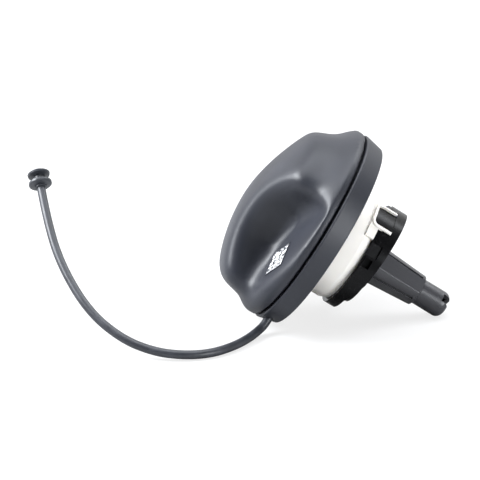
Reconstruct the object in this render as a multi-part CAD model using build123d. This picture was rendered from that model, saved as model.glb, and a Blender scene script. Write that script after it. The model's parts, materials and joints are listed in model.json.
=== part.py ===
from build123d import *
import os
from math import asin, atan2, cos, degrees, hypot, radians, sin, tan

# Bayonet fuel filler cap with a long filler-neck stalk and a moulded tether.
# Everything is modelled about the cap's own axis, then laid down on its rim and stalk.
# Cap frame: z = 0 is the middle of the seam between grip and tether ring, +Z points to the
# top of the grip, +X is the side of the cap that ends uppermost when it lies down.

# ---------------------------------------------------------------- driving dimensions, mm
# Overall
RING_RADIUS = 40.0           # the tether ring, the cap's widest part
RING_WALL = 2.5

# Grip
RIM_RADIUS = RING_RADIUS - 0.2   # the rim stands just inside the ring's edge
CROWN_HEIGHT = 26.6          # seam to the top of the grip
CROWN_RADIUS = 70.0          # curvature of the crown
CROWN_OFFSET = 3.7           # its highest point lies behind the axis, away from the nose
DRUM_RADIUS = RIM_RADIUS - 5.4   # the raised drum, at DRUM_LEVEL
DRUM_LEVEL = 19.6
DRUM_DRAFT = 11.8            # degrees from upright
DRUM_ROUND = 8.0
LEDGE_HEIGHT = 7.2           # the low rim that the drum stands on
GRIP_WALL = 2.3
GRIP_AZIMUTH = -15.0         # direction of the grip bar's nose, from +X
NOSE_TILT = 4.5              # the cone that forms the nose leans down by this angle
NOSE_CREST_RADIUS = RIM_RADIUS - 10.7
NOSE_CREST_HEIGHT = 20.3
NOSE_FOOT_RADIUS = RIM_RADIUS + 0.1
NOSE_FOOT_HEIGHT = 5.2
NOSE_ROUND = 4.0
SCOOP_SHIFT = 3.0            # finger scoop's own axis, from the cap's axis: toward the nose
SCOOP_OFFSET = RIM_RADIUS + 2.6  # and to the side, just past the rim
SCOOP_FOOT_RADIUS = 28.6
SCOOP_DRAFT = 6.0
SCOOP_ROUND = 4.5            # between floor and wall
SCOOP_FLOOR = 4.8            # floor height over the seam, on the scoop's own axis
SCOOP_TILT_ALONG = 6.5       # floor falls toward the nose
SCOOP_TILT_OUT = 4.0         # and outward
CREST_ROUND = 4.5
HUB_WALL = 2.7

# Tether ring
SEAM_GAP = 0.9
RING_REAR_RADIUS = RING_RADIUS - 1.6   # drafted toward the rear
RING_DEPTH = 8.3             # seam to the rear edge
RING_EDGE_ROUND = 0.7
WEB_THICKNESS = 1.8
WEB_DROP = 2.0               # web below the ring's front edge

# Closure body
FLANGE_RADIUS = RING_RADIUS - RING_WALL - 1.9   # room for the ring's ribs outside it
FLANGE_THICKNESS = 2.0
CUP_RADIUS = FLANGE_RADIUS - 5.9
CUP_WALL = 2.0
BARREL_RADIUS = 21.3
BARREL_WALL = 2.3
BARREL_END = 17.0            # seam to the end of the straight barrel
TAPER_END = 20.1             # seam to the end of its tapered nose
TAPER_RADIUS = 20.2
POST_RADIUS = 8.0
POST_WALL = 2.4
POST_TOP = 13.0

# Lug guards on the closure body, and the bayonet ring
GUARD_AZIMUTH = -26.0
GUARD_HALF_WIDTH = 6.1
GUARD_WALL = 0.95
GUARD_CORNER = 2.9
GUARD_FRONT = 16.5
GUARD_REAR = 25.2
GUARD_RADIUS = 22.9
GUSSET_RADIUS = 22.1
GUSSET_SPAN = 12.0           # degrees
BAYONET_RADIUS = 21.9
BAYONET_STEP = 24.3
BAYONET_REAR = 27.5
BAYONET_TUBE_RADIUS = 17.6   # behind the step
BAYONET_TUBE_WALL = 0.8
RELIEF_RADIUS = 20.2         # the ring is cut back to this beside the first guard
RELIEF_REAR = 22.7
RELIEF_START = -9.5
RELIEF_SPAN = 54.0           # degrees
RAMP_RADIUS = 22.4
RAMP_DEPTH = 5.1             # radial
RAMP_HEIGHT = 6.6            # axial
RAMP_LEAD = 11.1             # of the locking stretch
RAMP_STARTS = (-97.0, 83.0)  # azimuths where the locking stretches begin
RAMP_SPANS = (110.0, 45.0)   # degrees; unequal, so the cap enters one way round
RAMP_LOW_REAR = 26.7
LEAD_IN_LEAD = 31.0          # of the steeper stretch before it
LEAD_IN_SPAN = 28.0

# Stalk
STALK_BASE_RADIUS = 7.75
STALK_END_RADIUS = 6.25
STALK_END = 49.3
STALK_WALL = 1.8
STALK_FLANGE_RADIUS = 15.5
STALK_FLANGE_THICKNESS = 1.5
TIP_RADIUS = 5.15
TIP_END = 61.8
TIP_ROUND = 3.0
TIP_WALL = 1.4
SLOT_WIDTH = 3.2
SLOT_LENGTH = 3.6
SLOT_AZIMUTH = -40.0
FLAT_AZIMUTH = -50.0
FLAT_DEPTH = 0.75
GROOVE_WIDTH = 1.0
GROOVE_DEPTH = 0.8
GROOVE_TURN = 30.0           # groove beside each flat

# Ratchet and retention
TEETH = 24
TOOTH_DEPTH = 1.1
RATCHET_WALL = 1.7
RATCHET_HEIGHT = 3.4
PAWLS = 3
PAWL_ARM = 1.4
PAWL_SPAN = 73.6             # degrees
WASHER_THICKNESS = 0.5
SNAP_WIRE = 1.1

# Valve
SEAT_PLATE = 1.8
PORT_RADIUS = 6.4
PLATE_RADIUS = 11.6
PLATE_THICKNESS = 1.6
SEAL_THICKNESS = 1.0
PRESSURE_WIRE = 0.8
VACUUM_RADIUS = 4.6
VACUUM_WIRE = 0.5
VALVE_TURNS = 3.5

# Neck seal, label, tether
SEAL_RADIUS = 27.0
SEAL_HEIGHT = 3.0
LABEL_SIDE = 11.2
LABEL_THICKNESS = 0.15
LABEL_PLACE = (-7.0, 15.7)    # from the scoop's own axis: along the bar, toward the bar
LABEL_TURN = -23.0           # degrees
CORD_DIAMETER = 3.3
CORD_AZIMUTH = -151.0
CORD_DROP = 3.9              # seam to the cord's root
SOCKET_RADIUS = 2.2
SOCKET_DEPTH = 1.5
CORD_FIRST_RUN = 4.1
CORD_SECOND = (-19.4, -23.4, 1.85)
PLUG_DISC_RADIUS = 4.4
PLUG_NECK_RADIUS = 2.2
PLUG_COLLAR = 1.1            # cord's end to the first flange
PLUG_NECK_LENGTH = 2.4

RUNNING = 0.08               # radial clearance of a turning fit
LOOSE = 0.3                  # clearance between pieces that move past each other
SEATED = 0.05                # clearance between pieces that are fixed together

# ---------------------------------------------------------------- derived levels
rim_bottom = SEAM_GAP / 2
ring_front = -SEAM_GAP / 2
web_top = ring_front - WEB_DROP
web_bottom = web_top - WEB_THICKNESS
flange_top = web_bottom - LOOSE
flange_bottom = flange_top - FLANGE_THICKNESS
hub_bottom = web_top + 1.2
barrel_bore = BARREL_RADIUS - BARREL_WALL
post_bore = POST_RADIUS - POST_WALL
bayonet_front = TAPER_END + SEATED


def polar(radius, azimuth, z=0.0):
    return Vector(radius * cos(radians(azimuth)), radius * sin(radians(azimuth)), z)


def ring(outer, inner, low, high):
    """A plain annulus between two levels."""
    tube = Cylinder(outer, high - low, align=(Align.CENTER, Align.CENTER, Align.MIN))
    if inner > 0:
        tube -= Cylinder(inner, high - low, align=(Align.CENTER, Align.CENTER, Align.MIN))
    return Pos(0, 0, low) * tube


def turned(*corners):
    """A solid turned about Z from (radius, height) corners."""
    return revolve(Plane.XZ * make_face(Polyline(*corners, close=True)), Axis.Z)


def sector(outer, inner, low, high, start, span):
    """A piece of an annulus, from one azimuth through a span of under 180 degrees."""
    reach = 2 * outer / cos(radians(span / 2))
    wedge = make_face(Polyline((0, 0), polar(reach, start), polar(reach, start + span), close=True))
    return ring(outer, inner, low, high) & extrude(Pos(0, 0, low) * wedge, high - low)


# ---------------------------------------------------------------- grip
def crown_ball(inset=0.0):
    """The large ball whose top is the grip's crown."""
    return Pos(-CROWN_OFFSET, 0, CROWN_HEIGHT - CROWN_RADIUS) * Sphere(CROWN_RADIUS - inset)


def drum(inset=0.0):
    """The crowned drum with drafted sides, run on down past the rim."""
    slope = tan(radians(DRUM_DRAFT))
    low, high = -6.0, CROWN_HEIGHT + 6
    foot = DRUM_RADIUS - inset + (DRUM_LEVEL - low) * slope
    body = turned((0, low), (foot, low), (foot - (high - low) * slope, high), (0, high))
    body &= crown_ball(inset)
    shoulder = [e for e in body.edges() if e.is_closed and (e @ 0.5).Z > DRUM_LEVEL / 2]
    return body.fillet(DRUM_ROUND - inset, shoulder)


def low_rim(inset=0.0):
    """The low rim that the drum stands in, with a stepped top."""
    floor = rim_bottom if inset == 0 else rim_bottom - 1
    rim = RIM_RADIUS - inset
    top = LEDGE_HEIGHT - inset * 0.6
    return turned(
        (0, floor), (rim - 0.1, floor), (rim, top - 3.2), (rim - 0.5, top - 1.3),
        (rim - 1.6, top - 0.2), (DRUM_RADIUS - inset, top + 0.3), (0, top + 0.3),
    )


def nose_cutter(inset=0.0):
    """Everything outside the leaning cone, on the nose side of the axis."""
    slope = (NOSE_CREST_RADIUS - NOSE_FOOT_RADIUS) / (NOSE_CREST_HEIGHT - NOSE_FOOT_HEIGHT)
    low, high = -10.0, 34.0
    foot = NOSE_FOOT_RADIUS - inset * 1.15
    cone = turned(
        (0, low), (foot + (low - NOSE_FOOT_HEIGHT) * slope, low),
        (foot + (high - NOSE_FOOT_HEIGHT) * slope, high), (0, high),
    )
    nose_side = Box(60, 120, 60, align=(Align.MIN, Align.CENTER, Align.MIN))
    return nose_side - Rot(0, NOSE_TILT, 0) * cone


def scoop_cutter(side, grow=0.0):
    """One finger scoop as a turned bowl on its own leaning axis; side is -1 or +1."""
    foot = SCOOP_FOOT_RADIUS + grow
    height = 30.0
    top = foot + (height + grow) * tan(radians(SCOOP_DRAFT))
    profile = make_face(Polyline((0, -grow), (foot, -grow), (top, height), (0, height), close=True))
    bowl = revolve(Plane.XZ * profile, Axis.Z)
    foot_edge = [e for e in bowl.edges().filter_by(GeomType.CIRCLE)
                 if abs(e.center().Z + grow) < 0.01]
    bowl = bowl.fillet(SCOOP_ROUND + grow, foot_edge)
    lean = Rot(side * -SCOOP_TILT_OUT, SCOOP_TILT_ALONG, 0)
    return Pos(SCOOP_SHIFT, side * SCOOP_OFFSET, SCOOP_FLOOR) * lean * bowl


def on_nose_crest(edge):
    """True for the two edges that meet in the middle of the nose, where it leaves the crown."""
    middle, ends = edge @ 0.5, (edge @ 0, edge @ 1)
    forward = middle.X > 0 and abs(middle.Y) > 1
    return forward and middle.Z > LEDGE_HEIGHT + 3 and min(abs(p.Y) for p in ends) < 0.05


def grip_form(inset=0.0):
    """Crowned drum with both scoops and the nose cut and softened; bar along +X."""
    scoops = [scoop_cutter(side, inset) for side in (-1, 1)]
    nose = nose_cutter(inset)
    body = drum(inset) - scoops
    if inset == 0:
        brow = [e for e in body.edges() if (e @ 0.5).Z > CROWN_HEIGHT - 5 and abs((e @ 0.5).Y) > 5]
        body = body.fillet(CREST_ROUND, brow)
    body -= nose
    if inset == 0:
        body = body.fillet(NOSE_ROUND, [e for e in body.edges() if on_nose_crest(e)])
    low = rim_bottom if inset == 0 else rim_bottom - 1
    body &= ring(RIM_RADIUS + 5, 0, low, CROWN_HEIGHT + 1)
    return body + (low_rim(inset) - nose - scoops)


def make_grip():
    outer = grip_form()
    inner = grip_form(GRIP_WALL)
    shell = outer - inner
    mouth = ring(RIM_RADIUS - GRIP_WALL, 0, rim_bottom - 2, rim_bottom + 1.2)
    shell -= mouth
    under = outer & ring(RIM_RADIUS - GRIP_WALL, 0, hub_bottom, CROWN_HEIGHT - GRIP_WALL / 2)
    hub_radius = POST_RADIUS + RUNNING + HUB_WALL
    hub = under & ring(hub_radius, 0, hub_bottom, CROWN_HEIGHT)
    rib_outer = ratchet_outer()
    rib = under & ring(rib_outer, rib_outer - RATCHET_WALL, ratchet_top(), CROWN_HEIGHT)
    lip_outer = ring_wall_radius(WEB_DROP) - RING_WALL - LOOSE
    lip = ring(lip_outer, lip_outer - 1.6, web_top + LOOSE, rim_bottom + 2.0)
    body = shell + hub + rib + lip
    body -= ring(POST_RADIUS + RUNNING, 0, hub_bottom - 1, POST_TOP + 1.5)
    groove_z = snap_level()
    body -= ring(POST_RADIUS + 1.1, 0, groove_z - SNAP_WIRE, groove_z + SNAP_WIRE)
    return body


def ratchet_outer():
    return CUP_RADIUS - CUP_WALL - LOOSE


def ratchet_top():
    return web_top + 2.2


def snap_level():
    return POST_TOP - 3.0


def make_ratchet_ring():
    """Saw-tooth ring that is pegged under the grip's inner rib."""
    outer = ratchet_outer()
    root = outer - RATCHET_WALL
    top = ratchet_top() - SEATED
    body = ring(outer, root, top - RATCHET_HEIGHT, top)
    pitch = 360 / TEETH
    tooth = make_face(Polyline(
        polar(root + 0.2, 0), polar(root - TOOTH_DEPTH, pitch * 0.08),
        polar(root - TOOTH_DEPTH, pitch * 0.22), polar(root + 0.2, pitch * 0.62), close=True,
    ))
    teeth = [Rot(0, 0, i * pitch) * extrude(Pos(0, 0, top - RATCHET_HEIGHT) * tooth, RATCHET_HEIGHT)
             for i in range(TEETH)]
    return body + teeth


def make_pawl_disc():
    """Keyed disc with three sprung arms whose tips sit between the ratchet teeth."""
    top = ratchet_top() - SEATED - 0.3
    low = flange_top + SEATED
    root = ratchet_outer() - RATCHET_WALL
    reach = root - TOOTH_DEPTH - 0.7
    hub_top = hub_bottom - 0.25 - WASHER_THICKNESS - SEATED
    body = ring(reach - 9.5, POST_RADIUS + SEATED, low, hub_top)
    for i in range(PAWLS):
        start = i * 360 / PAWLS
        arm = sector(reach, reach - PAWL_ARM, low, top, start, PAWL_SPAN)
        spoke_start = polar(reach - 11, start + 8)
        spoke_end = polar(reach - PAWL_ARM / 2, start + 3)
        across = Vector(-sin(radians(start + 5)), cos(radians(start + 5))) * 1.3
        spoke = extrude(Pos(0, 0, low) * make_face(Polyline(
            spoke_start - across, spoke_end - across, spoke_end + across, spoke_start + across,
            close=True)), top - low)
        tip_azimuth = start + PAWL_SPAN
        tip = extrude(Pos(0, 0, low) * make_face(Polyline(
            polar(reach - PAWL_ARM, tip_azimuth - 4), polar(root - TOOTH_DEPTH + 0.6, tip_azimuth - 0.2),
            polar(root - TOOTH_DEPTH + 0.6, tip_azimuth + 1.0), polar(reach - PAWL_ARM, tip_azimuth + 1.0),
            close=True)), top - low)
        body = body + arm + spoke + tip
    key = POST_RADIUS + 2.2
    for azimuth in (0, 120, 240):
        body -= Rot(0, 0, azimuth + 60) * Pos(key, 0, low) * Box(
            3.0 + 2 * SEATED, 3.0 + 2 * SEATED, 3.2, align=(Align.CENTER, Align.CENTER, Align.CENTER))
    return body


def make_thrust_washer():
    top = hub_bottom - 0.25
    return ring(POST_RADIUS + 3.0, POST_RADIUS + SEATED, top - WASHER_THICKNESS, top)


def make_snap_ring():
    """Split wire ring half sunk in the post, which holds the grip's hub."""
    middle = POST_RADIUS + SEATED
    z = snap_level()
    wire = revolve(Plane.XZ * Pos(middle, z) * Circle(SNAP_WIRE / 2), Axis.Z)
    gap = Pos(middle, 0, z) * Box(3, 2.4, 3)
    return wire - gap


# ---------------------------------------------------------------- tether ring, cord and plug
def ring_wall_radius(depth):
    """Outside radius of the tapered tether ring, at a depth below its front edge."""
    share = depth / (RING_DEPTH - SEAM_GAP / 2)
    return RING_RADIUS + (RING_REAR_RADIUS - RING_RADIUS) * share


def make_tether_ring():
    rear = -RING_DEPTH
    inner = RING_RADIUS - RING_WALL
    rear_inner = RING_REAR_RADIUS - RING_WALL
    wall = turned(
        (RING_RADIUS, ring_front), (RING_REAR_RADIUS, rear), (rear_inner, rear), (inner, ring_front)
    )
    wall = wall.fillet(RING_EDGE_ROUND, [
        e for e in wall.edges().filter_by(GeomType.CIRCLE) if e.radius > inner + 0.1 or (
            e.center().Z < rear + 0.1 and e.radius > rear_inner + 0.1)])
    web_bore = CUP_RADIUS + LOOSE
    body = wall + ring(inner, web_bore, web_bottom, web_top)
    for i in range(12):
        body += Rot(0, 0, 15 + i * 30) * Pos(0, 0, web_bottom) * sector_rib(inner)
    hole = root_plane() * Cylinder(
        SOCKET_RADIUS, SOCKET_DEPTH + 3, align=(Align.CENTER, Align.CENTER, Align.MIN))
    return body - hole


def sector_rib(outer):
    """One stiffening rib between the web and the wall of the tether ring."""
    reach = FLANGE_RADIUS + LOOSE
    face = make_face(Polyline((reach, 0), (outer - 0.1, 0), (outer - 0.3, -2.4), close=True))
    return Pos(0, 0.5, 0) * extrude(Plane.XZ * face, 1.0)


def root_plane():
    """The bottom of the cord's socket, facing outward."""
    surface = ring_wall_radius(CORD_DROP - SEAM_GAP / 2)
    return Plane(
        origin=polar(surface - SOCKET_DEPTH, CORD_AZIMUTH, -CORD_DROP),
        x_dir=(0, 0, 1), z_dir=polar(1, CORD_AZIMUTH),
    )


# Points of the tether's route: x and y from the middle of the seam, z above the ground.
CORD_ROUTE = (
    (-22.4, -30.0, 1.75),
    (-27.6, -38.2, 1.75),
    (-35.6, -45.6, 1.75),
    (-45.0, -48.2, 2.0),
    (-56.0, -47.6, 3.0),
    (-68.5, -43.6, 6.6),
    (-81.5, -35.0, 14.6),
    (-92.6, -20.6, 27.8),
    (-98.6, -6.8, 40.6),
    (-101.6, 3.3, 50.0),
)


def make_cord(root, root_direction, seam_x):
    """The tether as straight runs joined by arcs, and the plane at its far end."""
    first = root + root_direction * CORD_FIRST_RUN
    second = Vector(seam_x + CORD_SECOND[0], CORD_SECOND[1], CORD_SECOND[2])
    points = [root, first, second] + [Vector(seam_x + x, y, z) for x, y, z in CORD_ROUTE]
    radii = []
    for a, b, c in zip(points, points[1:], points[2:]):
        turn = (b - a).get_angle(c - b)
        shorter = min((b - a).length, (c - b).length)
        radii.append(0.45 * shorter / tan(radians(turn / 2)))
    path = FilletPolyline(*points, radius=radii)
    start = Plane(origin=root, z_dir=root_direction)
    cord = sweep(start * Circle(CORD_DIAMETER / 2), path=path)
    ideal = 3.14159265 * CORD_DIAMETER**2 / 4 * path.length
    print("tether points", [tuple(round(v, 2) for v in p) for p in points])
    print("tether runs", [round((b - a).length, 1) for a, b in zip(points, points[1:])])
    print("tether radii", [round(r, 1) for r in radii], "length", round(path.length, 1),
          "volume share", round(cord.volume / ideal, 4))
    end = Plane(origin=points[-1], z_dir=points[-1] - points[-2])
    return cord, end


def make_plug(end):
    """Push-in plug: collar, wide flange, neck and a domed head."""
    neck = PLUG_NECK_RADIUS
    disc = PLUG_DISC_RADIUS
    low = PLUG_COLLAR
    profile = Polyline(
        (0, 0), (CORD_DIAMETER / 2 + 0.7, 0), (CORD_DIAMETER / 2 + 0.7, low - 0.3),
        (disc - 0.5, low), (disc, low + 0.4), (disc, low + 1.2), (neck, low + 1.5),
        (neck, low + 1.5 + PLUG_NECK_LENGTH), (disc - 0.3, low + 1.9 + PLUG_NECK_LENGTH),
        (disc - 0.1, low + 2.6 + PLUG_NECK_LENGTH), (disc - 1.6, low + 3.6 + PLUG_NECK_LENGTH),
        (0, low + 4.1 + PLUG_NECK_LENGTH), close=True,
    )
    return end * revolve(Plane.XZ * make_face(profile), Axis.Z)


# ---------------------------------------------------------------- closure body and bayonet
def guard_outline(grow):
    """The U of one lug guard, in its own plane: x across, y toward the rear."""
    half = GUARD_HALF_WIDTH + grow
    front, rear = GUARD_FRONT - grow, GUARD_REAR
    corner = GUARD_CORNER + grow
    outline = make_face(Polyline(
        (-half, front), (half, front), (half, rear), (-half, rear), close=True))
    return fillet(outline.vertices().sort_by(Axis.Y)[:2], corner)


def guard_plane(side):
    """Plane across a lug at its own azimuth: x across, y toward the stalk, z outward."""
    azimuth = GUARD_AZIMUTH + 180 * side
    return Plane(origin=(0, 0, 0), x_dir=polar(1, azimuth - 90), z_dir=polar(1, azimuth))


def guard_block(side, grow, inner, outer):
    """A solid prism over the guard's outline, from one radius to another."""
    return extrude(guard_plane(side) * Pos(0, 0, inner) * guard_outline(grow), outer - inner)


def make_closure_body():
    cup = ring(CUP_RADIUS, 0, flange_bottom, hub_bottom - 0.3)
    cup -= ring(CUP_RADIUS - CUP_WALL, 0, flange_top, 5)
    body = cup + ring(FLANGE_RADIUS, 0, flange_bottom, flange_top)
    barrel = turned(
        (0, flange_bottom), (BARREL_RADIUS, flange_bottom), (BARREL_RADIUS, -BARREL_END),
        (TAPER_RADIUS, -TAPER_END), (0, -TAPER_END),
    )
    for side in (0, 1):
        azimuth = GUARD_AZIMUTH + 180 * side
        guard = guard_block(side, 0, TAPER_RADIUS - 1.8, GUARD_RADIUS + 1)
        guard &= ring(GUARD_RADIUS, 0, -GUARD_REAR - 1, -GUARD_FRONT + 1)
        reach = degrees(asin(GUARD_HALF_WIDTH / BARREL_RADIUS))
        gusset = sector(GUSSET_RADIUS, TAPER_RADIUS - 1.8, -TAPER_END, -GUARD_FRONT,
                        azimuth - reach - GUSSET_SPAN, GUSSET_SPAN + reach)
        barrel += guard + gusset
    for side in (0, 1):
        barrel -= guard_block(side, -GUARD_WALL, BARREL_RADIUS / 2, GUARD_RADIUS + 2)
    body += barrel
    body -= ring(barrel_bore, 0, -TAPER_END - 12, flange_bottom)
    body += ring(POST_RADIUS, 0, flange_bottom, POST_TOP)
    body -= ring(post_bore, 0, flange_bottom - 1, POST_TOP + 1)
    groove = SNAP_WIRE / 2 + SEATED
    body -= ring(POST_RADIUS + 1, POST_RADIUS - groove, snap_level() - groove,
                 snap_level() + groove)
    key = POST_RADIUS + 2.2
    for azimuth in (0, 120, 240):
        body += Rot(0, 0, azimuth + 60) * Pos(key, 0, flange_top - 0.2) * Box(
            3.0, 3.0, 1.6, align=(Align.CENTER, Align.CENTER, Align.MIN))
    for i in range(6):
        body -= Pos(*polar(15.5, i * 60 + 30)) * ring(1.4, 0, flange_bottom - 1, flange_top + 1)
    return body


def make_neck_seal():
    """Lipped rubber ring under the flange, round the barrel."""
    inner = BARREL_RADIUS + SEATED
    top = flange_bottom - SEATED
    low = top - SEAL_HEIGHT
    return turned(
        (inner, top), (SEAL_RADIUS - 0.8, top), (SEAL_RADIUS, top - 0.9), (SEAL_RADIUS - 0.2, low),
        (SEAL_RADIUS - 1.6, low), (inner + 3.0, low + 1.5), (inner + 0.9, low + 0.1), (inner, low + 0.1),
    )


def helical_band(outer, lead, start, span, rear):
    """A square-edged band that winds rearward from one azimuth; rear is its rear edge there."""
    path = Helix(lead, lead * span / 360, outer - RAMP_DEPTH / 2)
    section = Plane(origin=path @ 0, x_dir=(1, 0, 0), z_dir=path % 0) * Rectangle(
        RAMP_DEPTH, RAMP_HEIGHT)
    band = mirror(sweep(section, path=path, is_frenet=True), Plane.XY)
    return Rot(0, 0, start) * Pos(0, 0, RAMP_HEIGHT / 2 - rear) * band


def ramp(side):
    """The two stretches of one bayonet ramp: a steep lead-in, then the slower locking one."""
    start = RAMP_STARTS[side]
    lead_in_rear = RAMP_LOW_REAR - LEAD_IN_LEAD * LEAD_IN_SPAN / 360
    return (
        helical_band(RAMP_RADIUS - 0.05, LEAD_IN_LEAD, start - LEAD_IN_SPAN, LEAD_IN_SPAN + 2,
                     lead_in_rear),
        helical_band(RAMP_RADIUS, RAMP_LEAD, start, RAMP_SPANS[side], RAMP_LOW_REAR),
    )


def make_bayonet_ring():
    bore = barrel_bore - 1.0
    tube = BAYONET_TUBE_RADIUS
    behind = -STALK_END
    body = ring(BAYONET_RADIUS, bore, -BAYONET_STEP, -bayonet_front)
    body -= sector(BAYONET_RADIUS + 1, RELIEF_RADIUS, -RELIEF_REAR, -bayonet_front + 1,
                   RELIEF_START, RELIEF_SPAN)
    body += ring(bore + 0.5, tube - BAYONET_TUBE_WALL, -BAYONET_STEP, -BAYONET_STEP + 1.5)
    body += ring(tube, tube - BAYONET_TUBE_WALL, -BAYONET_REAR, -BAYONET_STEP + 1.5)
    for side in (0, 1):
        for stretch in ramp(side):
            body += stretch & ring(RAMP_RADIUS + 1, 0, behind, -bayonet_front)
    body += ring(tube, STALK_BASE_RADIUS + SEATED, -BAYONET_REAR, -BAYONET_REAR + 1.6)
    spigot = ring(barrel_bore - SEATED, bore, -bayonet_front - 0.5, -TAPER_END + 2.6)
    body += spigot
    for side in (0, 1):
        body -= guard_block(side, SEATED, bore * 0.8, RAMP_RADIUS + 3) - ring(
            bore, 0, behind, 0)
        fill = guard_block(side, -GUARD_WALL - SEATED, tube - BAYONET_TUBE_WALL + 0.1, RAMP_RADIUS)
        fill &= ring(GUARD_RADIUS - 0.9, 0, -GUARD_REAR, -GUARD_FRONT)
        body += fill
    for side in (0, 1):
        window = Rot(0, 0, -78 + 180 * side) * Pos(BAYONET_RADIUS, 0, -bayonet_front - 2.4)
        body -= window * Box(3.4, 3.6, 2.9)
        land = Rot(0, 0, -64 + 180 * side) * Pos(BAYONET_RADIUS + 0.55, 0, -bayonet_front - 2.3)
        body -= land * Box(2, 5.6, 4.6)
    return body


# ---------------------------------------------------------------- stalk
def make_stalk():
    """Tapered tube with four flats and the grooves beside them, on a base flange."""
    lean = degrees(atan2(STALK_BASE_RADIUS - STALK_END_RADIUS, STALK_END - BAYONET_REAR))
    body = turned(
        (0, -BAYONET_REAR), (STALK_BASE_RADIUS, -BAYONET_REAR), (STALK_END_RADIUS, -STALK_END),
        (0, -STALK_END),
    )
    body = body.fillet(0.6, [e for e in body.edges().filter_by(GeomType.CIRCLE)
                             if e.center().Z < -STALK_END + 0.1])
    for i in range(4):
        flat = Box(6, 20, 60, align=(Align.MIN, Align.CENTER, Align.CENTER))
        place_flat = Rot(0, 0, FLAT_AZIMUTH + 90 * i) * Pos(
            STALK_BASE_RADIUS - FLAT_DEPTH, 0, -BAYONET_REAR) * Rot(0, lean, 0)
        body -= place_flat * flat
        groove = Box(6, GROOVE_WIDTH, STALK_END - BAYONET_REAR - 1.5,
                     align=(Align.MIN, Align.CENTER, Align.MAX))
        place_groove = Rot(0, 0, FLAT_AZIMUTH + GROOVE_TURN + 90 * i) * Pos(
            STALK_BASE_RADIUS - GROOVE_DEPTH, 0, -BAYONET_REAR) * Rot(0, lean, 0)
        body -= place_groove * groove
    inner_top = -BAYONET_REAR + 1.6 + SEATED
    body += ring(STALK_BASE_RADIUS, 0, -BAYONET_REAR, inner_top)
    body += ring(STALK_FLANGE_RADIUS, 0, inner_top, inner_top + STALK_FLANGE_THICKNESS)
    body -= turned(
        (0, inner_top + 5), (STALK_BASE_RADIUS - STALK_WALL, inner_top + 5),
        (STALK_BASE_RADIUS - STALK_WALL, -BAYONET_REAR), (TIP_RADIUS - 1.0, -STALK_END + 4),
        (TIP_RADIUS - 1.0, -STALK_END - 1), (0, -STALK_END - 1),
    )
    return body


def make_stalk_tip():
    """Blind tip with a shank in the stalk and a slot across its end."""
    shank = TIP_RADIUS - 1.0 - SEATED
    body = ring(shank, 0, -STALK_END - 0.5, -STALK_END + 3.6)
    nose = ring(TIP_RADIUS, 0, -TIP_END, -STALK_END - SEATED)
    nose = nose.fillet(TIP_ROUND, [e for e in nose.edges().filter_by(GeomType.CIRCLE)
                                   if e.center().Z < -TIP_END + 0.1])
    body += nose
    body -= ring(TIP_RADIUS - TIP_WALL - 0.8, 0, -TIP_END + 1.6, -STALK_END + 4)
    slot = Rot(0, 0, SLOT_AZIMUTH) * Pos(0, 0, -TIP_END - 1) * Box(
        2 * TIP_RADIUS + 4, SLOT_WIDTH, SLOT_LENGTH + 1, align=(Align.CENTER, Align.CENTER, Align.MIN))
    return body - slot


def make_stalk_o_ring():
    """Rubber ring in the corner between the stalk's flange and the bayonet ring."""
    wire = 0.55
    radius = STALK_FLANGE_RADIUS + SEATED + wire
    z = -BAYONET_REAR + 1.6 + SEATED + wire
    return revolve(Plane.XZ * Pos(radius, z) * Circle(wire), Axis.Z)


# ---------------------------------------------------------------- valve in the barrel
def seat_top():
    return -TAPER_END + 2.6 + SEATED + SEAT_PLATE


def plate_bottom():
    return seat_top() + 0.8 + LOOSE + SEAL_THICKNESS


def make_valve_seat():
    """Plate with the vent port, held between the barrel and the bayonet ring's spigot."""
    top = seat_top()
    body = ring(barrel_bore - SEATED, PORT_RADIUS, top - SEAT_PLATE, top)
    return body + ring(PORT_RADIUS + 2.4, PORT_RADIUS + 1.2, top, top + 0.8)


def make_plate_seal():
    low = seat_top() + 0.8 + LOOSE
    return ring(PORT_RADIUS + 3.2, VACUUM_RADIUS + 1.6, low, low + SEAL_THICKNESS)


def make_pressure_plate():
    low = plate_bottom()
    body = ring(PLATE_RADIUS, VACUUM_RADIUS - 1.6, low, low + PLATE_THICKNESS)
    body += ring(VACUUM_RADIUS + 1.5, VACUUM_RADIUS + 0.6, low - SEAL_THICKNESS, low + 0.1)
    body += ring(PLATE_RADIUS - 1.2, PLATE_RADIUS - 2.2, low, low + PLATE_THICKNESS + 1.0)
    return body


def spring_coil(radius, wire, low, high, turns):
    rise = high - low - wire
    path = Helix(rise / turns, rise, radius)
    section = Plane(origin=path @ 0, z_dir=path % 0) * Circle(wire / 2)
    return Pos(0, 0, low + wire / 2) * sweep(section, path=path, is_frenet=True)


def make_pressure_spring():
    low = plate_bottom() + PLATE_THICKNESS + 0.1
    high = flange_bottom - 0.1
    return spring_coil(PLATE_RADIUS - 3.0, PRESSURE_WIRE, low, high, VALVE_TURNS)


def make_vacuum_disc():
    """Small check disc under the pressure plate, with its stem through the plate."""
    low = plate_bottom() - LOOSE - 1.2
    stem = VACUUM_RADIUS - 3.4
    body = ring(VACUUM_RADIUS, 0, low, low + 1.2)
    return body + ring(stem, 0, low + 1.2, plate_bottom() + PLATE_THICKNESS + 5.2)


def make_vacuum_spring():
    low = plate_bottom() + PLATE_THICKNESS + 0.1
    return spring_coil(VACUUM_RADIUS - 1.0, VACUUM_WIRE, low, low + 3.4, VALVE_TURNS)


def make_spring_cap():
    """Retainer clipped on the stem over the vacuum spring."""
    low = plate_bottom() + PLATE_THICKNESS + 3.6
    stem = VACUUM_RADIUS - 3.4
    return ring(VACUUM_RADIUS - 0.4, stem + SEATED, low, low + 0.8)


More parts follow.
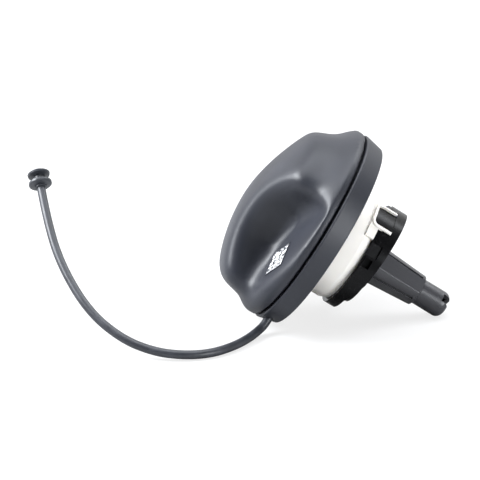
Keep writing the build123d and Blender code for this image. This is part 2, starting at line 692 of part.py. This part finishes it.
# ---------------------------------------------------------------- label
def make_label():
    """Square label following the floor of one scoop and the start of its wall."""
    lean = Rot(SCOOP_TILT_OUT, SCOOP_TILT_ALONG, 0)
    skin = scoop_cutter(-1, -SEATED) - scoop_cutter(-1, -SEATED - LABEL_THICKNESS)
    over = Pos(SCOOP_SHIFT, -SCOOP_OFFSET, SCOOP_FLOOR) * lean * Pos(*LABEL_PLACE, 0) * Rot(0, 0, LABEL_TURN)
    return skin & over * Box(LABEL_SIDE, LABEL_SIDE, 14)


# ---------------------------------------------------------------- laying the cap down
def tangent_line():
    """Lie angle and seam height of a cap that rests on the ring's edge and the tip."""
    edge = (RING_DEPTH - RING_EDGE_ROUND, RING_REAR_RADIUS - RING_EDGE_ROUND)
    tip = (TIP_END - TIP_ROUND, TIP_RADIUS - TIP_ROUND)
    along, down = tip[0] - edge[0], edge[1] - tip[1]
    angle = atan2(down, along) - asin((TIP_ROUND - RING_EDGE_ROUND) / hypot(along, down))
    height = edge[1] * cos(angle) + edge[0] * sin(angle) + RING_EDGE_ROUND
    return degrees(angle), height


def main():
    os.makedirs("parts", exist_ok=True)
    turn_grip = Rot(0, 0, GRIP_AZIMUTH)
    fixed = {
        "grip_cover": turn_grip * make_grip(),
        "ratchet_ring": make_ratchet_ring(),
        "label": turn_grip * make_label(),
        "pawl_disc": make_pawl_disc(),
        "thrust_washer": make_thrust_washer(),
        "snap_ring": make_snap_ring(),
        "tether_ring": make_tether_ring(),
        "closure_body": make_closure_body(),
        "neck_seal": make_neck_seal(),
        "bayonet_ring": make_bayonet_ring(),
        "stalk": make_stalk(),
        "stalk_tip": make_stalk_tip(),
        "stalk_o_ring": make_stalk_o_ring(),
        "valve_seat": make_valve_seat(),
        "plate_seal": make_plate_seal(),
        "pressure_plate": make_pressure_plate(),
        "pressure_spring": make_pressure_spring(),
        "vacuum_disc": make_vacuum_disc(),
        "vacuum_spring": make_vacuum_spring(),
        "spring_cap": make_spring_cap(),
    }
    lie_angle, seam_height = tangent_line()
    stand = Pos(0, 0, seam_height) * Rot(0, lie_angle - 90, 0)
    laid = {name: stand * solid for name, solid in fixed.items()}
    boxes = [solid.bounding_box() for solid in laid.values()]
    middle = (min(b.min.X for b in boxes) + max(b.max.X for b in boxes)) / 2
    shift = Pos(-middle, 0, 0)
    print("lie angle", round(lie_angle, 3), "seam height", round(seam_height, 3),
          "seam centre x", round(-middle, 3))
    placed = {name: shift * solid for name, solid in laid.items()}

    seat = (shift * stand * Location(root_plane()))
    root = seat.position
    outward = Plane(seat).z_dir
    cord, end = make_cord(root, outward, -middle)
    placed["tether_cord"] = cord
    placed["tether_plug"] = make_plug(end)
    for name, solid in placed.items():
        export_step(solid, f"parts/{name}.step")
    return placed


if __name__ == "__main__":
    main()
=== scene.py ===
# %% [markdown]
# # A fuel filler cap with its tether
#
# The cap lies on the rim of its tether ring and on the tip of its stalk. Its solids are
# already modelled to size, so this lesson dresses them: it sets up a camera, lays the
# tether as one smooth curve, gives each moulded part its own finish, and lights them softly.
# Everything is in metres, with +Z up and the ground at z = 0.

# %% Load the fixed model
import json
import math

import bpy
import numpy as np
from mathutils import Matrix, Vector

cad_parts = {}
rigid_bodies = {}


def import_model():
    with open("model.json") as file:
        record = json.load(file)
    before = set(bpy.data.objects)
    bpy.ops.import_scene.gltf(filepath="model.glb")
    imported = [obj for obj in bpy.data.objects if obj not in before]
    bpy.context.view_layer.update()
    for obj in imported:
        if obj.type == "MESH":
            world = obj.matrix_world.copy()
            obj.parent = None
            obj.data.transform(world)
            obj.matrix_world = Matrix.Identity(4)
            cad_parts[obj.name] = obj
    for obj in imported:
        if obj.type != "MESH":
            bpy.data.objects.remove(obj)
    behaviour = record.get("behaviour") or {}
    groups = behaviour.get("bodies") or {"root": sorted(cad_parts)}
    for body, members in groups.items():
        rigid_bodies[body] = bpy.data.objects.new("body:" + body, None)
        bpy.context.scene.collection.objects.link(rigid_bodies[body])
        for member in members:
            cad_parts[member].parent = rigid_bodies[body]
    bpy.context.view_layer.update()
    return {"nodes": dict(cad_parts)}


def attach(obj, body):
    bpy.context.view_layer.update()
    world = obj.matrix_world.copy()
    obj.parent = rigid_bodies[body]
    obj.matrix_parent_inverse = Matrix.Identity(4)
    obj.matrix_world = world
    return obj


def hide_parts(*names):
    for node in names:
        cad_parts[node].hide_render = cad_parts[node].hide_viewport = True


for leftover in list(bpy.data.objects):
    bpy.data.objects.remove(leftover)
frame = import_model()
nodes = frame["nodes"]
MM = 0.001

# %% [markdown]
# ## The cap's own frame
#
# Several finishes follow the cap's own axis rather than the room's, so the place where the
# cap lies is written once as a matrix: the middle of the seam between grip and ring, tipped
# over by the angle at which the cap rests. In that frame +Z points out of the grip's top.

# %% Where the cap lies
SEAM_CENTRE = Vector((-9.611, 0.0, 36.541)) * MM
LIE_ANGLE = math.radians(32.659)
cap_frame = Matrix.Translation(SEAM_CENTRE) @ Matrix.Rotation(LIE_ANGLE - math.pi / 2, 4, "Y")
cap_axis = (cap_frame.to_3x3() @ Vector((0, 0, 1))).normalized()
print("cap axis", tuple(round(v, 4) for v in cap_axis))

# %% [markdown]
# ## The camera
#
# A long lens from nearly a metre away keeps the round parts close to true ellipses. The
# camera first looks straight at the seam's middle, and a last small turn of its own places
# the cap to the right of the frame, which leaves room for the tether on the left.

# %% Set up the camera
VIEW_DISTANCE = 0.85
VIEW_ELEVATION = 17.85       # degrees above the ground
FOCAL_LENGTH = 168.3         # millimetres, on a sensor 36 mm wide
TURN_LEFT = 1.76             # degrees
TURN_DOWN = 0.40

lens = bpy.data.cameras.new("camera")
lens.lens = FOCAL_LENGTH
lens.sensor_width = 36
camera = bpy.data.objects.new("camera", lens)
bpy.context.scene.collection.objects.link(camera)
rise = math.radians(VIEW_ELEVATION)
eye = SEAM_CENTRE + VIEW_DISTANCE * Vector((0, -math.cos(rise), math.sin(rise)))
camera.matrix_world = (
    Matrix.Translation(eye)
    @ Matrix.Rotation(math.pi / 2 - rise, 4, "X")
    @ Matrix.Rotation(math.radians(TURN_LEFT), 4, "Y")
    @ Matrix.Rotation(math.radians(-TURN_DOWN), 4, "X")
)
bpy.context.scene.camera = camera
print("camera at", tuple(round(v, 3) for v in eye))

# %% [markdown]
# ## The tether
#
# The tether is a strand of springy elastomer, moulded in one with its plug. It leaves the
# ring, bends at once along the ground, and then its own stiffness lifts it in a long arc.
# A NURBS curve of order 3 through few control points gives that even bend without kinks,
# and a round bevel gives it thickness. The order is set after the points, because Blender
# lowers it while the curve is still short. The bevel is 1 and each point's radius carries
# the real size, because Blender takes the curve's box from those radii.

# %% Lay the tether
TETHER_DIAMETER = 3.3 * MM
TETHER_POINTS = (
    (-24.17, -18.32, 6.60), (-26.10, -20.31, 3.59), (-29.01, -23.40, 1.85),
    (-32.01, -30.00, 1.75), (-37.21, -38.20, 1.75), (-45.21, -45.60, 1.75),
    (-54.61, -48.20, 2.00), (-65.61, -47.60, 3.00), (-78.11, -43.60, 6.60),
    (-91.11, -35.00, 14.60), (-102.21, -20.60, 27.80), (-108.21, -6.80, 40.60),
    (-111.21, 3.30, 50.00),
)

strand = bpy.data.curves.new("tether", "CURVE")
strand.dimensions = "3D"
strand.resolution_u = 16
strand.bevel_depth = 1.0
strand.bevel_resolution = 8
line = strand.splines.new("NURBS")
line.points.add(len(TETHER_POINTS) - 1)
for point, place in zip(line.points, TETHER_POINTS):
    point.co = (*(Vector(place) * MM), 1)
    point.radius = TETHER_DIAMETER / 2
line.order_u = 3
line.use_endpoint_u = True
tether = bpy.data.objects.new("tether", strand)
bpy.context.scene.collection.objects.link(tether)
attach(tether, "tether")
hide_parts("tether_cord")

# %% [markdown]
# ## The grip's skin
#
# The real grip has no crisp line anywhere above its rim: the two finger scoops, the crown
# and the sloping nose melt into each other, as clay does under a thumb. Fillets between
# exact solids leave faint creases there. So the skin starts as a voxel remesh of the solid
# grip, which gives it even small faces. The voxel is small enough for the grip's thin wall,
# and large enough to keep the skin under 200,000 triangles.

# %% Remesh the grip
VOXEL = 0.62 * MM
NOSE_AZIMUTH = math.radians(-15)

solid_grip = nodes["grip_cover"]
skin = bpy.data.objects.new("grip_skin", solid_grip.data.copy())
bpy.context.scene.collection.objects.link(skin)


def apply_modifier(piece, kind, **settings):
    """Adds one modifier to a piece and makes its result the piece's own mesh."""
    modifier = piece.modifiers.new(kind.lower(), kind)
    for key, value in settings.items():
        setattr(modifier, key, value)
    bpy.context.view_layer.update()
    shape = piece.evaluated_get(bpy.context.evaluated_depsgraph_get())
    made = bpy.data.meshes.new_from_object(shape)
    piece.modifiers.clear()
    piece.data = made


apply_modifier(skin, "REMESH", mode="VOXEL", voxel_size=VOXEL, use_smooth_shade=True)
print("skin faces", len(skin.data.polygons))


# %% [markdown]
# ## Measuring the skin
#
# The shaping below is easiest to describe about the cap's axis, with +X toward the nose and
# millimetres as the unit. There every vertex has a radius, a height over the seam and a turn
# away from the middle of the nose. All vertices are read as one array, which is far quicker
# than a loop, and are written back the same way.

# %% The skin's vertices as arrays
nose_frame = cap_frame @ Matrix.Rotation(NOSE_AZIMUTH, 4, "Z")


def ease(low, high, value):
    """0 below low, 1 above high and a smooth rise between them, for arrays."""
    share = np.clip((value - low) / (high - low), 0, 1)
    return share * share * (3 - 2 * share)


def read_skin():
    """Vertices of the skin in the nose's frame, in millimetres."""
    flat = np.zeros(len(skin.data.vertices) * 3)
    skin.data.vertices.foreach_get("co", flat)
    into = np.array(nose_frame.inverted())
    return (flat.reshape(-1, 3) @ into[:3, :3].T + into[:3, 3]) / MM


def write_skin(places):
    """Puts such vertices back into the mesh."""
    out_of = np.array(nose_frame)
    moved = (places * MM) @ out_of[:3, :3].T + out_of[:3, 3]
    skin.data.vertices.foreach_set("co", moved.ravel())
    skin.data.update()


spot = read_skin()
radius = np.hypot(spot[:, 0], spot[:, 1])
turn = np.degrees(np.abs(np.arctan2(spot[:, 1], spot[:, 0])))
height = spot[:, 2]
print("skin from", round(height.min(), 1), "to", round(height.max(), 1), "mm over the seam")

# %% [markdown]
# ## Hollowing the nose
#
# The nose is pulled in a little just above the rim, where the solid grip is a plain cone.
# Each vertex there moves toward the axis by a depth that is a product of soft steps in
# height, turn and radius. Unlike a cut, such a product has no edge where it starts or ends.

# %% Pull the nose in
NOSE_HOLLOW = 1.9                      # millimetres, at its deepest
HOLLOW_LOW, HOLLOW_DEEPEST, HOLLOW_HIGH = 5.0, 8.0, 19.0
MIDDLE_SHARE = 0.55                    # the middle of the nose is hollowed less
MIDDLE_ENDS = (8, 26)                  # degrees of turn
HOLLOW_ENDS = (44, 62)                 # degrees of turn
OUTER_WALL = (28.5, 31)                # millimetres from the axis

upright = ease(HOLLOW_LOW, HOLLOW_DEEPEST, height)
upright *= 1 - ease(HOLLOW_DEEPEST, HOLLOW_HIGH, height)
around = MIDDLE_SHARE + (1 - MIDDLE_SHARE) * ease(*MIDDLE_ENDS, turn)
around *= 1 - ease(*HOLLOW_ENDS, turn)
depth = NOSE_HOLLOW * upright * around * ease(*OUTER_WALL, radius)
for axis in (0, 1):
    spot[:, axis] -= depth * spot[:, axis] / np.maximum(radius, 1)
write_skin(spot)
print("nose pulled in by up to", round(depth.max(), 2), "mm")

# %% [markdown]
# ## Melting the creases
#
# A Smooth modifier moves each vertex toward the middle of its neighbours, many times over,
# so narrow creases go first and broad forms hardly move. A vertex group says where it may
# act. The rim and all that lies low in the grip stay as they are, because other parts fit
# against them, and so does the floor under the label, which would otherwise rise through it.

# %% Smooth the open surface
MELT_ROUNDS = 140
LABEL_SEAT = (-4.0, -26.7)             # the label's middle in the nose's frame

above_rim = ease(2.6, 5.2, height) * np.maximum(ease(15, 17, height), ease(28, 29, radius))
in_scoop = ease(4.3, 5.0, height) * ease(17, 19, radius) * (np.abs(spot[:, 1]) > 13)
from_label = np.hypot(spot[:, 0] - LABEL_SEAT[0], spot[:, 1] - LABEL_SEAT[1])
off_label = np.where(height < 12, ease(8.5, 11.0, from_label), 1)
free = np.maximum(above_rim, in_scoop) * off_label
melt = skin.vertex_groups.new(name="melt")
for index in np.nonzero(free > 0.01)[0]:
    melt.add([int(index)], float(free[index]), "REPLACE")
apply_modifier(skin, "SMOOTH", factor=0.5, iterations=MELT_ROUNDS, vertex_group="melt")
skin.data.shade_smooth()
print("vertices free to move", int((free > 0.01).sum()), "of", len(free))
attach(skin, "grip")
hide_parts("grip_cover")

# %% [markdown]
# ## Writing a finish as arithmetic
#
# A moulded finish is mostly small sums: this much grain, times that mask, plus a base
# value. `Flow` wraps one output of a shader node so that those sums can be written with
# + - * /, and each sum adds its Math node. `Finish` holds one material, and its `node`
# method makes every other kind of node from its type, its settings and its sockets.

# %% Helpers for materials
class Flow:
    """One output socket of a finish, with arithmetic."""

    def __init__(self, finish, socket):
        self.finish, self.socket = finish, socket

    def _sum(self, operation, *values):
        sockets = dict(enumerate(values))
        return self.finish.node("Math", {"operation": operation}, sockets)

    def __add__(self, other):
        return self._sum("ADD", self, other)

    def __sub__(self, other):
        return self._sum("SUBTRACT", self, other)

    def __rsub__(self, other):
        return self._sum("SUBTRACT", other, self)

    def __mul__(self, other):
        return self._sum("MULTIPLY", self, other)

    def __truediv__(self, other):
        return self._sum("DIVIDE", self, other)

    def __gt__(self, other):
        return self._sum("GREATER_THAN", self, other)

    def floor(self):
        return self._sum("FLOOR", self)

    def size(self):
        return self._sum("ABSOLUTE", self)

    __radd__ = __add__
    __rmul__ = __mul__


class Finish:
    """A material built around one Principled shader."""

    def __init__(self, name, **constants):
        self.material = bpy.data.materials.new(name)
        self.material.use_nodes = True
        self.tree = self.material.node_tree
        self.shader = self.tree.nodes["Principled BSDF"]
        for key, value in constants.items():
            self.feed(self.shader.inputs[key.replace("_", " ")], value)

    def feed(self, socket, value):
        """Links a Flow to a socket, or sets the socket's own value."""
        if isinstance(value, Flow):
            self.tree.links.new(value.socket, socket)
        elif hasattr(socket.default_value, "__len__") and len(value) < len(socket.default_value):
            socket.default_value = (*value, 1)
        else:
            socket.default_value = value

    def node(self, kind, settings=None, sockets=None, output=0):
        """A node of one kind, its settings first and then its sockets, as a Flow."""
        made = self.tree.nodes.new("ShaderNode" + kind)
        settings = dict(settings or {})
        stops = settings.pop("stops", None)
        for key, value in settings.items():
            setattr(made, key, value)
        if stops:
            ramp = made.color_ramp
            while len(ramp.elements) < len(stops):
                ramp.elements.new(0.5)
            for element, (place, level) in zip(ramp.elements, stops):
                element.position = place
                element.color = (level, level, level, 1)
        for key, value in (sockets or {}).items():
            self.feed(made.inputs[key], value)
        return Flow(self, made.outputs[output])

    def place(self):
        """Where a point is on its object, in metres."""
        return self.node("TexCoord", output="Object")

    def noise(self, scale, detail=2.0, roughness=0.5, at=None):
        """Smooth random variation from 0 to 1; scale is in features per metre."""
        return self.node("TexNoise", {}, {
            "Vector": at or self.place(), "Scale": scale, "Detail": detail,
            "Roughness": roughness,
        })

    def along(self, direction, origin=(0, 0, 0), at=None):
        """Distance of a point from an origin, measured along a direction."""
        offset = self.node("VectorMath", {"operation": "SUBTRACT"},
                           {0: at or self.place(), 1: tuple(origin)})
        return self.node("VectorMath", {"operation": "DOT_PRODUCT"},
                         {0: offset, 1: tuple(direction)}, output="Value")

    def ramp(self, flow, *stops):
        """A soft step: the flow's value goes through a ramp of grey stops."""
        return self.node("ValToRGB", {"stops": stops}, {"Fac": flow})

    def blend(self, share, low, high):
        """A colour between two others."""
        return self.node("Mix", {"data_type": "RGBA"}, {0: share, 6: low, 7: high}, output=2)

    def soft_edges(self, radius, samples=4):
        """A normal that rolls over sharp edges, as a moulded edge does."""
        return self.node("Bevel", {"samples": samples}, {"Radius": radius})

    def relief(self, height, depth, normal=None):
        """A bump of that depth in metres into the shader's normal."""
        sockets = {"Height": height, "Distance": depth, "Strength": 1.0}
        if normal is not None:
            sockets["Normal"] = normal
        self.feed(self.shader.inputs["Normal"], self.node("Bump", {}, sockets))


def dress(finish, *names):
    """Puts a finish on solids of the fixed model."""
    for name in names:
        slots = nodes[name].data.materials
        slots.clear()
        slots.append(finish.material)


# %% [markdown]
# ## The grip and the tether ring
#
# Both are moulded from the same dark blue-grey plastic with a fine spark-eroded grain. The
# grain is far smaller than the part, so it is a shallow bump that mostly spreads the
# highlight. The colour drifts a little with the flow of the plastic, and hands polish the
# top of the grip, so the shine grows with height along the cap's axis.

# %% Grip plastic
GRIP_DARK = (0.013, 0.0145, 0.021)
GRIP_LIGHT = (0.021, 0.0235, 0.033)


def grip_plastic(name, polish):
    """Dark satin plastic; polish is how much smoother its top is than its rim."""
    finish = Finish(name, Specular_IOR_Level=0.5)
    drift = finish.noise(45, detail=3)
    grain = finish.noise(3200, detail=3, roughness=0.6)
    scuff = finish.ramp(finish.noise(420, detail=5, roughness=0.7), (0.60, 0), (0.78, 1))
    colour = finish.blend(finish.ramp(drift, (0.35, 0), (0.7, 1)), GRIP_DARK, GRIP_LIGHT)
    colour = finish.blend(scuff * 0.08, colour, (0.12, 0.125, 0.14))
    height = finish.along(cap_axis, SEAM_CENTRE) / (26 * MM)
    handled = finish.ramp(height, (0.1, 0), (1.0, 1))
    rough = 0.43 + 0.08 * grain + 0.06 * scuff - polish * handled
    finish.feed(finish.shader.inputs["Base Color"], colour)
    finish.feed(finish.shader.inputs["Roughness"], rough)
    finish.relief(grain, 0.030 * MM, finish.soft_edges(0.35 * MM))
    return finish


skin.data.materials.clear()
skin.data.materials.append(grip_plastic("grip_plastic", polish=0.05).material)
dress(grip_plastic("ring_plastic", polish=0.0), "tether_ring")

# %% [markdown]
# ## The closure body
#
# The barrel and its flange are natural acetal: warm white, faintly translucent, and smooth
# from a polished mould. Flow marks run round the barrel. They are a noise that is squeezed
# along the cap's axis, so the marks come out as rings.

# %% Natural acetal
acetal = Finish("natural_acetal", Specular_IOR_Level=0.5, Subsurface_Weight=0.12,
                Subsurface_Radius=(1.0, 0.9, 0.7), Subsurface_Scale=1.2 * MM)
flow_marks = acetal.noise(900, detail=2, at=acetal.node(
    "CombineXYZ", {}, {0: acetal.along(cap_axis), 1: 0.0, 2: 0.0}))
haze = acetal.noise(70, detail=4)
acetal.feed(acetal.shader.inputs["Base Color"],
            acetal.blend(haze, (0.90, 0.86, 0.80), (0.94, 0.91, 0.86)))
acetal.feed(acetal.shader.inputs["Roughness"], 0.30 + 0.10 * haze + 0.05 * flow_marks)
acetal.relief(flow_marks, 0.010 * MM, acetal.soft_edges(0.3 * MM))
dress(acetal, "closure_body", "valve_seat")

# %% [markdown]
# ## The bayonet ring and the stalk
#
# These are glass-filled black plastic. The ring comes out of a smooth mould and shines, the
# stalk is greyer and a little duller, and both carry fine lengthwise drag lines from being
# pushed out of the mould. Rubbing greys both of them in small specks.

# %% Black plastics
def black_plastic(name, roughness, drag, shine, tone=0.004):
    """Black moulded plastic with drag lines along the cap's axis."""
    finish = Finish(name, Specular_IOR_Level=shine)
    across = finish.node("VectorMath", {"operation": "CROSS_PRODUCT"},
                         {0: finish.place(), 1: tuple(cap_axis)})
    lines = finish.noise(1500, detail=2, at=across)
    specks = finish.ramp(finish.noise(1100, detail=4, roughness=0.65), (0.62, 0), (0.74, 1))
    grain = finish.noise(2600, detail=2)
    finish.feed(finish.shader.inputs["Base Color"],
                finish.blend(specks * 0.25, (tone, tone, tone * 1.12), (0.07, 0.07, 0.075)))
    finish.feed(finish.shader.inputs["Roughness"], roughness + drag * lines + 0.10 * specks)
    finish.relief(lines * 0.6 + grain * 0.4, 0.012 * MM, finish.soft_edges(0.3 * MM))
    return finish


dress(black_plastic("bayonet_plastic", 0.20, 0.06, shine=0.15), "bayonet_ring")
dress(black_plastic("stalk_plastic", 0.30, 0.10, shine=0.6, tone=0.040), "stalk", "stalk_tip")

# %% [markdown]
# ## The tether's elastomer
#
# The strand and its plug are a soft, matt elastomer with a faint bloom: a thin grey film
# that gathers on the surface in cloudy patches. Sheen would only brighten the rim, so the
# bloom is a slight change of colour and roughness instead.

# %% Elastomer
elastomer = Finish("tether_elastomer", Specular_IOR_Level=0.5)
bloom = elastomer.ramp(elastomer.noise(180, detail=4), (0.4, 0), (0.75, 1))
pores = elastomer.noise(2400, detail=2)
elastomer.feed(elastomer.shader.inputs["Base Color"],
               elastomer.blend(bloom, (0.026, 0.028, 0.034), (0.042, 0.045, 0.054)))
elastomer.feed(elastomer.shader.inputs["Roughness"], 0.34 + 0.10 * bloom + 0.05 * pores)
elastomer.relief(pores, 0.003 * MM)
strand.materials.append(elastomer.material)
dress(elastomer, "tether_plug")

# %% [markdown]
# ## Rubber seals
#
# The neck seal and the two smaller seals are matt black rubber. A talc-like dust stays in
# their pores, so fine light specks sit on a very dark base.

# %% Seal rubber
rubber = Finish("seal_rubber", Specular_IOR_Level=0.35)
talc = rubber.ramp(rubber.noise(1600, detail=5, roughness=0.7), (0.58, 0), (0.8, 1))
rubber.feed(rubber.shader.inputs["Base Color"],
            rubber.blend(talc * 0.5, (0.018, 0.018, 0.019), (0.10, 0.10, 0.10)))
rubber.feed(rubber.shader.inputs["Roughness"], 0.62 + 0.2 * talc)
rubber.relief(rubber.noise(2400, detail=3), 0.02 * MM, rubber.soft_edges(0.2 * MM))
dress(rubber, "neck_seal", "plate_seal", "stalk_o_ring")

# %% [markdown]
# ## Parts inside the cap
#
# The ratchet, pawls and valve are dark acetal, the washer is slippery white film, and the
# springs and the snap ring are drawn steel wire. Nobody sees them while the cap is whole,
# yet each one gets its own finish so that the model can be taken apart.

# %% Dark acetal
dark_acetal = Finish("dark_acetal", Specular_IOR_Level=0.5)
cloud = dark_acetal.noise(260, detail=3)
dark_acetal.feed(dark_acetal.shader.inputs["Base Color"],
                 dark_acetal.blend(cloud, (0.035, 0.035, 0.040), (0.060, 0.060, 0.066)))
dark_acetal.feed(dark_acetal.shader.inputs["Roughness"], 0.28 + 0.12 * cloud)
dark_acetal.relief(dark_acetal.noise(1800), 0.010 * MM, dark_acetal.soft_edges(0.15 * MM))
dress(dark_acetal, "ratchet_ring", "pawl_disc", "pressure_plate", "vacuum_disc", "spring_cap")

# %% Washer film
washer = Finish("washer_film", Specular_IOR_Level=0.5)
waxy = washer.noise(500, detail=3)
washer.feed(washer.shader.inputs["Base Color"],
            washer.blend(waxy, (0.72, 0.72, 0.70), (0.82, 0.82, 0.80)))
washer.feed(washer.shader.inputs["Roughness"], 0.40 + 0.1 * waxy)
washer.relief(waxy, 0.005 * MM)
dress(washer, "thrust_washer")

# %% Spring wire
wire = Finish("spring_wire", Metallic=1.0)
drawn = wire.noise(3500, detail=2)
wire.feed(wire.shader.inputs["Base Color"],
          wire.blend(drawn, (0.48, 0.48, 0.49), (0.66, 0.66, 0.67)))
wire.feed(wire.shader.inputs["Roughness"], 0.25 + 0.18 * drawn)
wire.relief(drawn, 0.004 * MM)
dress(wire, "snap_ring", "pressure_spring", "vacuum_spring")

# %% [markdown]
# ## The label
#
# A small square of printed film is stuck in the near finger scoop. Its print is a field of
# little blocks that says nothing. To draw it, each point is measured along the label's two
# edges, those lengths are cut into cells, and a random number per cell decides if that cell
# is inked in white. The film itself is as dark as the grip, and a plain margin stays free.

# %% Label film
LABEL_SIDE = 11.2 * MM
CELL = 0.70 * MM
MARGIN = 0.6 * MM
SCOOP_FLOOR = Vector((3.0, -42.4, 4.8)) * MM     # a point of it, in the nose's frame
SCOOP_TILT, SCOOP_DIVE = math.radians(4.0), math.radians(6.5)
PLACE_IN_SCOOP = Vector((-7.0, 15.7, 0)) * MM
TURN_IN_SCOOP = math.radians(-23)

scoop_frame = (
    nose_frame @ Matrix.Translation(SCOOP_FLOOR)
    @ Matrix.Rotation(SCOOP_TILT, 4, "X") @ Matrix.Rotation(SCOOP_DIVE, 4, "Y")
)
label_frame = (
    scoop_frame @ Matrix.Translation(PLACE_IN_SCOOP) @ Matrix.Rotation(TURN_IN_SCOOP, 4, "Z")
)
label_x, label_y, _, label_centre = (label_frame.col[i].to_3d() for i in range(4))

film = Finish("label_film", Specular_IOR_Level=0.5)
across = film.along(label_x, label_centre)
down = film.along(label_y, label_centre)
cell = film.node("CombineXYZ", {}, {0: (across / CELL).floor(), 1: (down / CELL).floor(), 2: 3.0})
chance = film.node("TexWhiteNoise", {"noise_dimensions": "3D"}, {"Vector": cell})
reach = LABEL_SIDE / 2 - MARGIN
inked = (chance > 0.52) * (1 - (across.size() > reach)) * (1 - (down.size() > reach))
smudge = film.noise(900, detail=3)
film.feed(film.shader.inputs["Base Color"],
          film.blend(inked, (0.026, 0.028, 0.035), (0.84, 0.84, 0.85)))
film.feed(film.shader.inputs["Roughness"], 0.34 + 0.10 * smudge + 0.12 * inked)
film.relief(smudge, 0.004 * MM)
dress(film, "label")
print("label of", round(LABEL_SIDE / CELL), "cells a side at",
      [round(v / MM, 1) for v in label_centre])

# %% [markdown]
# ## The ground and the backdrop
#
# The cap lies on a white table in a white room. The table is an ordinary pale surface, so it
# takes the cap's soft shadow. To the camera alone it also glows, which lifts the lit part of
# it to white. To every other ray it is a mid grey that doesn't glow, so it throws less light
# up into the finger scoops and their walls stay dark.

# %% The table
GLOW_SHARE = 0.76

bpy.ops.mesh.primitive_plane_add(size=8, location=(0, 0, 0))
table = bpy.context.object
table.name = "table"
paper = Finish("table_white", Roughness=0.9, Specular_IOR_Level=0.1)
glow = paper.node("Emission", {}, {"Color": (1, 1, 1), "Strength": 1.0})
seen = paper.node("LightPath", output="Is Camera Ray")
paper.feed(paper.shader.inputs["Base Color"],
           paper.blend(seen, (0.42, 0.42, 0.42), (0.86, 0.86, 0.86)))
mixed = paper.node("MixShader", {}, {0: seen * GLOW_SHARE, 2: glow})
paper.tree.links.new(paper.shader.outputs[0], mixed.socket.node.inputs[1])
out = next(n for n in paper.tree.nodes if n.type == "OUTPUT_MATERIAL")
paper.tree.links.new(mixed.socket, out.inputs["Surface"])
table.data.materials.append(paper.material)
print("table", tuple(round(v, 1) for v in table.dimensions))

# %% [markdown]
# ## Light
#
# Broad lamps do the work, as soft boxes do in a studio. The strongest hangs on the left and
# draws the long highlight down the crown. One overhead keeps the shadow under the cap, and
# one high behind on the right lights the facets of the stalk. The last stands low in front
# on the right, behind the plane of the ring, so it brightens the white body and hardly
# reaches the finger scoops. The lamps are faintly blue, which cools the black plastic. The
# room is bright behind the cap and nearly dark in front of it, and white to the camera.

# %% Lamps
LAMP_COLOUR = (0.93, 0.96, 1.0)


def soft_box(name, place, size, power):
    """A square lamp aimed at the cap."""
    lamp = bpy.data.lights.new(name, "AREA")
    lamp.size = size
    lamp.energy = power
    lamp.color = LAMP_COLOUR
    holder = bpy.data.objects.new(name, lamp)
    bpy.context.scene.collection.objects.link(holder)
    holder.location = Vector(place)
    holder.rotation_euler = (SEAM_CENTRE - Vector(place)).to_track_quat("-Z", "Y").to_euler()


soft_box("left_box", (-0.80, -0.05, 0.60), 0.50, 22.0)
soft_box("top_box", (-0.05, 0.05, 1.00), 0.70, 6.5)
soft_box("right_box", (0.55, 0.45, 0.90), 0.50, 6.0)
soft_box("front_box", (0.68, -0.70, 0.12), 0.45, 9.0)

# %% The room
ROOM_FRONT = 0.06            # light from the side where the viewer stands
ROOM_BACK = 1.15             # light from the pale wall behind the cap

room = bpy.data.worlds.new("room")
bpy.context.scene.world = room
room.use_nodes = True
make, link = room.node_tree.nodes.new, room.node_tree.links.new
sky = room.node_tree.nodes["Background"]
sky.inputs["Color"].default_value = (1, 1, 1, 1)

facing = make("ShaderNodeTexCoord")
split = make("ShaderNodeSeparateXYZ")
link(facing.outputs["Generated"], split.inputs[0])
behind = make("ShaderNodeMapRange")
behind.interpolation_type = "SMOOTHSTEP"
spans = {"From Min": -0.5, "From Max": 0.8, "To Min": ROOM_FRONT, "To Max": ROOM_BACK}
for name, value in spans.items():
    behind.inputs[name].default_value = value
link(split.outputs["Y"], behind.inputs["Value"])

ray = make("ShaderNodeLightPath")
level = make("ShaderNodeMix")
link(ray.outputs["Is Camera Ray"], level.inputs["Factor"])
link(behind.outputs["Result"], level.inputs["A"])
level.inputs["B"].default_value = 1.0
link(level.outputs["Result"], sky.inputs["Strength"])
print("room light from", ROOM_FRONT, "in front to", ROOM_BACK, "behind")
bpy.context.scene.view_settings.view_transform = "Standard"
